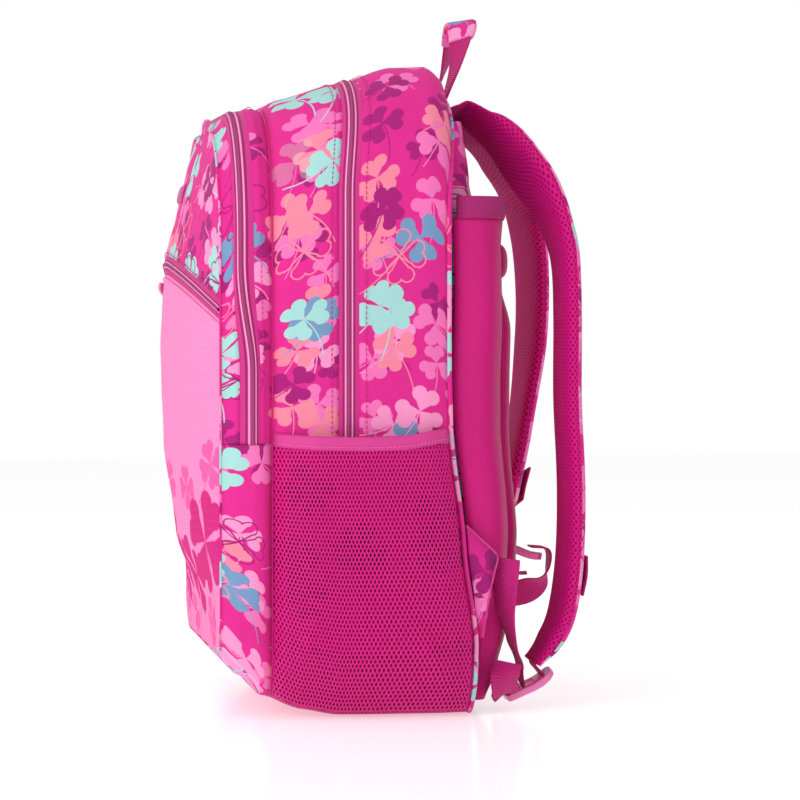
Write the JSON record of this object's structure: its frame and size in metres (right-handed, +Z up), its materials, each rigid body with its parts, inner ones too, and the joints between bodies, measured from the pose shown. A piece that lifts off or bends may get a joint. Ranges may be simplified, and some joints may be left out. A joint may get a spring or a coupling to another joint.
{
  "type": "school backpack",
  "caption": "Printed school backpack with front compartment, arched pocket, mesh side pockets, trolley sleeve, padded straps and haul loop.",
  "frame": {"origin": "on the floor, under the middle of the bag's own box", "axes": "+Z up, -Y the bag's front, +Y its back and straps, +X the wearer's left"},
  "size_m": [0.3314, 0.2897, 0.4703],
  "materials": {
    "print_fabric": "woven polyester, printed",
    "pink_fabric": "plain woven polyester",
    "magenta_fabric": "smooth woven polyester",
    "mesh_fabric": "open mesh",
    "air_mesh": "padded air mesh",
    "webbing": "ribbed webbing",
    "zip_tape": "woven tape",
    "zip_coil": "nylon coil",
    "slider": "lacquered",
    "buckle": "moulded, satin",
    "lining": "thin lining"
  },
  "bodies": {
    "bag": {"back_wall": "lining", "divider_wall": "lining", "gusset_rear": "print_fabric", "gusset_front": "print_fabric", "side_wall_left": "print_fabric", "side_wall_right": "print_fabric", "base_panel": "print_fabric", "main_zip_tape_rear": "zip_tape", "main_zip_tape_front": "zip_tape", "main_zip_coil": "zip_coil", "front_gusset_rear": "print_fabric", "front_gusset_front": "print_fabric", "front_gusset_lower": "print_fabric", "front_lining": "lining", "front_panel_upper": "print_fabric", "front_pocket": "pink_fabric", "pocket_zip_tape_upper": "zip_tape", "pocket_zip_tape_lower": "zip_tape", "pocket_zip_coil": "zip_coil", "front_zip_tape_rear": "zip_tape", "front_zip_tape_front": "zip_tape", "front_zip_coil": "zip_coil", "back_padding": "print_fabric", "trolley_sleeve": "magenta_fabric", "sleeve_hem": "magenta_fabric", "back_pad_top": "magenta_fabric", "back_pad_left": "magenta_fabric", "back_pad_right": "magenta_fabric", "side_pocket_mesh_left": "mesh_fabric", "side_pocket_binding_left": "magenta_fabric", "strap_root_left": "magenta_fabric", "anchor_wing_left": "print_fabric", "adjuster_webbing_left": "webbing", "side_pocket_mesh_right": "mesh_fabric", "side_pocket_binding_right": "magenta_fabric", "strap_root_right": "magenta_fabric", "anchor_wing_right": "print_fabric", "adjuster_webbing_right": "webbing"},
    "main_zip_left_slider": {"main_zip_left_slider": "slider"},
    "main_zip_left_pull": {"main_zip_left_pull": "pink_fabric"},
    "main_zip_right_slider": {"main_zip_right_slider": "slider"},
    "main_zip_right_pull": {"main_zip_right_pull": "pink_fabric"},
    "front_zip_left_slider": {"front_zip_left_slider": "slider"},
    "front_zip_left_pull": {"front_zip_left_pull": "pink_fabric"},
    "front_zip_right_slider": {"front_zip_right_slider": "slider"},
    "front_zip_right_pull": {"front_zip_right_pull": "pink_fabric"},
    "pocket_zip_slider": {"pocket_zip_slider": "slider"},
    "pocket_zip_pull": {"pocket_zip_pull": "pink_fabric"},
    "strap_left": {"shoulder_strap_left": "air_mesh", "lock_loop_left": "webbing", "strap_keeper_left": "webbing"},
    "lock_left": {"ladder_lock_left": "buckle", "webbing_tail_left": "webbing"},
    "strap_right": {"shoulder_strap_right": "air_mesh", "lock_loop_right": "webbing", "strap_keeper_right": "webbing"},
    "lock_right": {"ladder_lock_right": "buckle", "webbing_tail_right": "webbing"},
    "haul": {"haul_loop": "webbing", "haul_sleeve": "print_fabric"}
  },
  "joints": [
    {"name": "main_zip_left_slide", "type": "hinge", "parent": "bag", "child": "main_zip_left_slider", "pos_m": [-0.06741, -0.03077, 0.33642], "axis": [0.0145, 0.9973, -0.0726], "range_deg": [0, 42]},
    {"name": "main_zip_right_slide", "type": "hinge", "parent": "bag", "child": "main_zip_right_slider", "pos_m": [-0.07009, -0.01347, 0.33558], "axis": [0.2054, -0.9785, 0.0168], "range_deg": [0, 35]},
    {"name": "front_zip_left_slide", "type": "hinge", "parent": "bag", "child": "front_zip_left_slider", "pos_m": [-0.05875, -0.101, 0.31466], "axis": [0, 1, 0], "range_deg": [0, 42]},
    {"name": "front_zip_right_slide", "type": "hinge", "parent": "bag", "child": "front_zip_right_slider", "pos_m": [-0.05875, -0.101, 0.31466], "axis": [0, -1, 0], "range_deg": [0, 35]},
    {"name": "pocket_zip_slide", "type": "hinge", "parent": "bag", "child": "pocket_zip_slider", "pos_m": [0, 0.01353, 0.11475], "axis": [0, 0.7662, 0.6426], "range_deg": [0, 57]},
    {"name": "main_zip_left_pull_turn", "type": "hinge", "parent": "main_zip_left_slider", "child": "main_zip_left_pull", "pos_m": [-0.13127, -0.02532, 0.40477], "axis": [0.0447, -0.9981, 0.0421], "range_deg": [0, 100]},
    {"name": "main_zip_right_pull_turn", "type": "hinge", "parent": "main_zip_right_slider", "child": "main_zip_right_pull", "pos_m": [-0.14376, -0.02677, 0.39055], "axis": [-0.0591, 0.9949, -0.0816], "range_deg": [0, 100]},
    {"name": "front_zip_left_pull_turn", "type": "hinge", "parent": "front_zip_left_slider", "child": "front_zip_left_pull", "pos_m": [-0.12269, -0.101, 0.38343], "axis": [0, -1, 0], "range_deg": [0, 100]},
    {"name": "front_zip_right_pull_turn", "type": "hinge", "parent": "front_zip_right_slider", "child": "front_zip_right_pull", "pos_m": [-0.13518, -0.101, 0.36921], "axis": [0, 1, 0], "range_deg": [0, 100]},
    {"name": "pocket_zip_pull_turn", "type": "hinge", "parent": "pocket_zip_slider", "child": "pocket_zip_pull", "pos_m": [-0.12676, -0.12572, 0.27401], "axis": [0.2962, -0.3037, -0.9055], "range_deg": [0, 100]},
    {"name": "strap_left_swing", "type": "hinge", "parent": "bag", "child": "strap_left", "pos_m": [0, 0.0565, 0.402], "axis": [1, 0, 0], "range_deg": [0, 7], "deforming": ["adjuster_webbing_left"]},
    {"name": "lock_left_tilt", "type": "hinge", "parent": "strap_left", "child": "lock_left", "pos_m": [0.094, 0.1074, 0.0222], "axis": [1, 0, 0], "range_deg": [-8, 6]},
    {"name": "strap_right_swing", "type": "hinge", "parent": "bag", "child": "strap_right", "pos_m": [0, 0.0565, 0.402], "axis": [1, 0, 0], "range_deg": [0, 7], "deforming": ["adjuster_webbing_right"]},
    {"name": "lock_right_tilt", "type": "hinge", "parent": "strap_right", "child": "lock_right", "pos_m": [-0.096, 0.111, 0.1045], "axis": [1, 0, 0], "range_deg": [-9, 8]},
    {"name": "haul_loop_swing", "type": "hinge", "parent": "bag", "child": "haul", "pos_m": [0, 0.0465, 0.404], "axis": [1, 0, 0], "range_deg": [-25, 30]}
  ]
}
